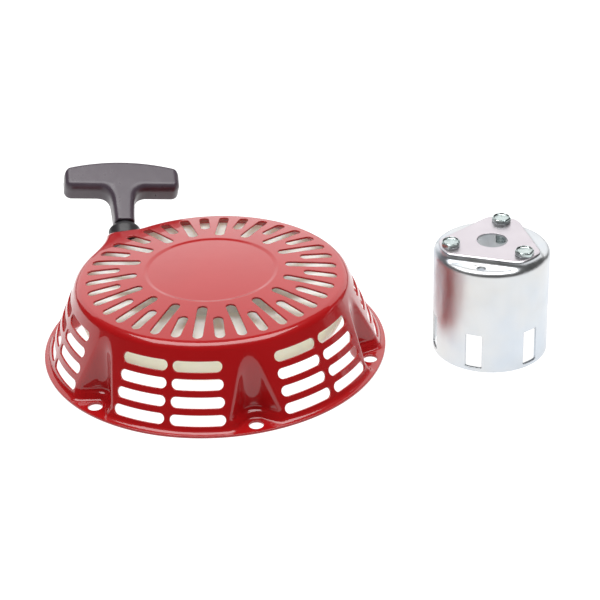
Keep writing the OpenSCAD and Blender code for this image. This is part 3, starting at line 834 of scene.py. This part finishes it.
def make_camera():
    """The view of the reference: from in front and above, turned a little about its axis."""
    tilt, roll = math.radians(29.35), math.radians(1.76)
    offset_x, offset_y, distance, focal_px = -49.7, -26.1, 1087.0, 1846.0
    ct, st, cr, sr = math.cos(tilt), math.sin(tilt), math.cos(roll), math.sin(roll)
    ahead = Vector((0, ct, -st))
    right = Vector((cr, -sr * st, -sr * ct))
    up = Vector((sr, cr * st, cr * ct))
    at = -(offset_x * right + offset_y * up + distance * ahead) * MM
    data = bpy.data.cameras.new("camera")
    data.sensor_width = 36.0
    data.lens = 36.0 * focal_px / 600
    data.clip_start, data.clip_end = 0.05, 50
    camera = bpy.data.objects.new("camera", data)
    camera.matrix_world = Matrix((
        (right.x, up.x, -ahead.x, at.x),
        (right.y, up.y, -ahead.y, at.y),
        (right.z, up.z, -ahead.z, at.z),
        (0, 0, 0, 1),
    ))
    bpy.context.scene.collection.objects.link(camera)
    bpy.context.scene.camera = camera


def material(name, colour, roughness, metallic=0.0, **sockets):
    """A Principled material and its node tree."""
    mat = bpy.data.materials.new(name)
    mat.use_nodes = True
    shader = mat.node_tree.nodes["Principled BSDF"]
    shader.inputs["Base Color"].default_value = (*colour, 1)
    shader.inputs["Roughness"].default_value = roughness
    shader.inputs["Metallic"].default_value = metallic
    for key, value in sockets.items():
        shader.inputs[key.replace("_", " ")].default_value = value
    return mat


def area_light(name, at, target, size, power, colour=(1, 1, 1)):
    data = bpy.data.lights.new(name, "AREA")
    data.shape = "RECTANGLE"
    data.size, data.size_y = size
    data.energy = power
    data.color = colour
    light = bpy.data.objects.new(name, data)
    light.location = at
    light.rotation_mode = "QUATERNION"
    light.rotation_quaternion = (Vector(target) - Vector(at)).to_track_quat("-Z", "Y")
    bpy.context.scene.collection.objects.link(light)


def make_stage():
    mesh = bpy.data.meshes.new("floor")
    half = 6.0
    corners = [(-half, -half, 0), (half, -half, 0), (half, half, 0), (-half, half, 0)]
    mesh.from_pydata(corners, [], [(0, 1, 2, 3)])
    floor = bpy.data.objects.new("floor", mesh)
    floor.location.z = -0.0002
    bpy.context.scene.collection.objects.link(floor)
    lit = material("floor", (0.2, 0.2, 0.2), 0.8, Emission_Color=(1, 1, 1, 1), Emission_Strength=1.0)
    floor.data.materials.append(lit)

    world = bpy.data.worlds.new("studio")
    world.use_nodes = True
    bpy.context.scene.world = world
    world.node_tree.nodes["Background"].inputs["Color"].default_value = (1, 0.98, 0.96, 1)
    world.node_tree.nodes["Background"].inputs["Strength"].default_value = 0.035

    area_light("overhead", (0.0, -0.05, 1.0), (0.0, 0, 0), (1.3, 0.6), 14)
    area_light("back", (0.0, 1.7, 0.95), (0, 0, 0.02), (4.0, 1.5), 25)


make_camera()
make_stage()
bpy.context.scene.view_settings.view_transform = "Standard"

# ---------- finishes ----------


def textured(name, colours, roughness, scale, bump, metallic=0.0, stretch=(1, 1, 1), **sockets):
    """A Principled material whose colour, roughness and relief follow noise in the object's own space.

    colours are the two ends of the mottling, roughness its two ends, scale the mottling's
    size per metre, and bump is (strength, depth in metres, size per metre).
    """
    mat = material(name, colours[0], roughness[0], metallic, **sockets)
    tree = mat.node_tree
    shader = tree.nodes["Principled BSDF"]

    def node(kind, **values):
        made = tree.nodes.new(kind)
        for key, value in values.items():
            made.inputs[key.replace("_", " ")].default_value = value
        return made

    where = tree.nodes.new("ShaderNodeTexCoord")
    mapping = node("ShaderNodeMapping", Scale=stretch)
    tree.links.new(where.outputs["Object"], mapping.inputs["Vector"])

    def noise(size, detail):
        made = node("ShaderNodeTexNoise", Scale=size, Detail=detail)
        tree.links.new(mapping.outputs["Vector"], made.inputs["Vector"])
        return made.outputs["Fac"]

    ramp = tree.nodes.new("ShaderNodeValToRGB")
    low, high = ramp.color_ramp.elements
    low.position, high.position = 0.3, 0.7
    low.color, high.color = (*colours[0], 1), (*colours[1], 1)
    tree.links.new(noise(scale, 4), ramp.inputs["Fac"])
    tree.links.new(ramp.outputs["Color"], shader.inputs["Base Color"])

    span = tree.nodes.new("ShaderNodeMapRange")
    span.inputs["From Min"].default_value = 0.3
    span.inputs["From Max"].default_value = 0.7
    span.inputs["To Min"].default_value = roughness[0]
    span.inputs["To Max"].default_value = roughness[1]
    tree.links.new(noise(scale * 3.7, 6), span.inputs["Value"])
    tree.links.new(span.outputs["Result"], shader.inputs["Roughness"])

    strength, depth, size = bump
    relief = node("ShaderNodeBump", Strength=strength, Distance=depth)
    tree.links.new(noise(size, 3), relief.inputs["Height"])
    tree.links.new(relief.outputs["Normal"], shader.inputs["Normal"])
    return mat


PAINT = textured(
    "red_paint", ((0.43, 0.0065, 0.008), (0.40, 0.0055, 0.007)), (0.28, 0.36), 30, (0.12, 0.00012, 420),
    Coat_Weight=1.0, Coat_Roughness=0.035, Coat_IOR=1.5, Specular_IOR_Level=0.15,
)
def zinc_plate(name):
    return textured(
        name, ((0.68, 0.675, 0.66), (0.62, 0.68, 0.75)), (0.30, 0.42), 24, (0.12, 0.00008, 900), 1.0
    )


ZINC = zinc_plate("zinc")
BOLT_ZINC = textured(
    "bolt_zinc", ((0.58, 0.64, 0.62), (0.50, 0.58, 0.58)), (0.24, 0.36), 150, (0.15, 0.00005, 1500), 1.0,
)


def top_with_painted_sheen(mat, sheen_colour, low, high):
    """Another colour above a height: a painted sheen, a pinkish tint that stands in for light on the cup's
    raised face.
    """
    tree = mat.node_tree
    colour = tree.nodes["Principled BSDF"].inputs["Base Color"]
    before = colour.links[0].from_socket
    where = tree.nodes.new("ShaderNodeTexCoord")
    split = tree.nodes.new("ShaderNodeSeparateXYZ")
    span = tree.nodes.new("ShaderNodeMapRange")
    span.inputs["From Min"].default_value = low * MM
    span.inputs["From Max"].default_value = high * MM
    mix = tree.nodes.new("ShaderNodeMix")
    mix.data_type = "RGBA"
    mix.inputs["B"].default_value = (*sheen_colour, 1)
    tree.links.new(where.outputs["Object"], split.inputs["Vector"])
    tree.links.new(split.outputs["Z"], span.inputs["Value"])
    tree.links.new(span.outputs["Result"], mix.inputs["Factor"])
    tree.links.new(before, mix.inputs["A"])
    tree.links.new(mix.outputs["Result"], colour)


# the cup's zinc with a painted sheen: its raised face is tinted pinkish from 67.2 to 67.8 mm up, standing
# in for light
CUP_ZINC_PAINTED_SHEEN = zinc_plate("cup_zinc_painted_sheen")
top_with_painted_sheen(CUP_ZINC_PAINTED_SHEEN, (0.64, 0.595, 0.63), 67.2, 67.8)
FINISH = {
    "red_paint": PAINT,
    "zinc": ZINC,
    "steel": textured(
        "steel", ((0.55, 0.56, 0.58), (0.45, 0.46, 0.48)), (0.26, 0.42), 120, (0.2, 0.00006, 1500), 1.0
    ),
    "black_plastic": textured(
        "black_plastic", ((0.018, 0.017, 0.019), (0.026, 0.024, 0.027)), (0.34, 0.46), 80,
        (0.2, 0.00005, 2500),
    ),
    "grip_plastic": textured(
        "grip_plastic", ((0.064, 0.047, 0.063), (0.078, 0.06, 0.078)), (0.27, 0.35), 60,
        (0.25, 0.00006, 2200),
    ),
    # nylon: its emission is a painted glow that lightens the reel where it shows through the slots; the
    # subsurface is the plastic's real translucency
    "nylon": textured(
        "nylon", ((0.86, 0.88, 0.78), (0.82, 0.84, 0.72)), (0.3, 0.42), 40, (0.15, 0.0001, 700),
        Subsurface_Weight=0.8, Subsurface_Radius=(1.0, 0.85, 0.65), Subsurface_Scale=0.02,
        Emission_Color=(0.88, 1.0, 0.86, 1), Emission_Strength=0.13,
    ),
    "spring_steel": textured(
        "spring_steel", ((0.28, 0.29, 0.32), (0.2, 0.2, 0.22)), (0.25, 0.4), 150, (0.2, 0.00005, 1800), 1.0
    ),
    "rope": textured(
        "rope", ((0.72, 0.70, 0.66), (0.55, 0.53, 0.49)), (0.75, 0.95), 700, (0.8, 0.0004, 1300)
    ),
    "guide_plastic": textured(
        "guide_plastic", ((0.62, 0.57, 0.42), (0.56, 0.51, 0.36)), (0.35, 0.5), 60, (0.2, 0.00008, 1200)
    ),
}
WORN = (
    (cover, PAINT), (cup, CUP_ZINC_PAINTED_SHEEN), (bolts, BOLT_ZINC), (guide, FINISH["black_plastic"]),
    (grip, FINISH["grip_plastic"]), (rope, FINISH["rope"]),
)
for piece, finish in WORN:
    piece.data.materials.append(finish)
EASED_NODES = ("centre_post", "pawl_1", "pawl_2", "ratchet_guide", "thrust_washer", "centre_screw")
EASED_WIDTH = 0.2
slots = {row["node"]: row["material_slot"] for row in frame["record"]["subparts"]}
for name, node in frame["nodes"].items():
    node.data.materials.clear()
    node.data.materials.append(FINISH[slots[name]])
    if name in EASED_NODES:
        eased = node.modifiers.new("eased_edges", "BEVEL")
        eased.width = EASED_WIDTH * MM
        eased.segments = 2
        eased.limit_method = "ANGLE"
        eased.angle_limit = math.radians(40)
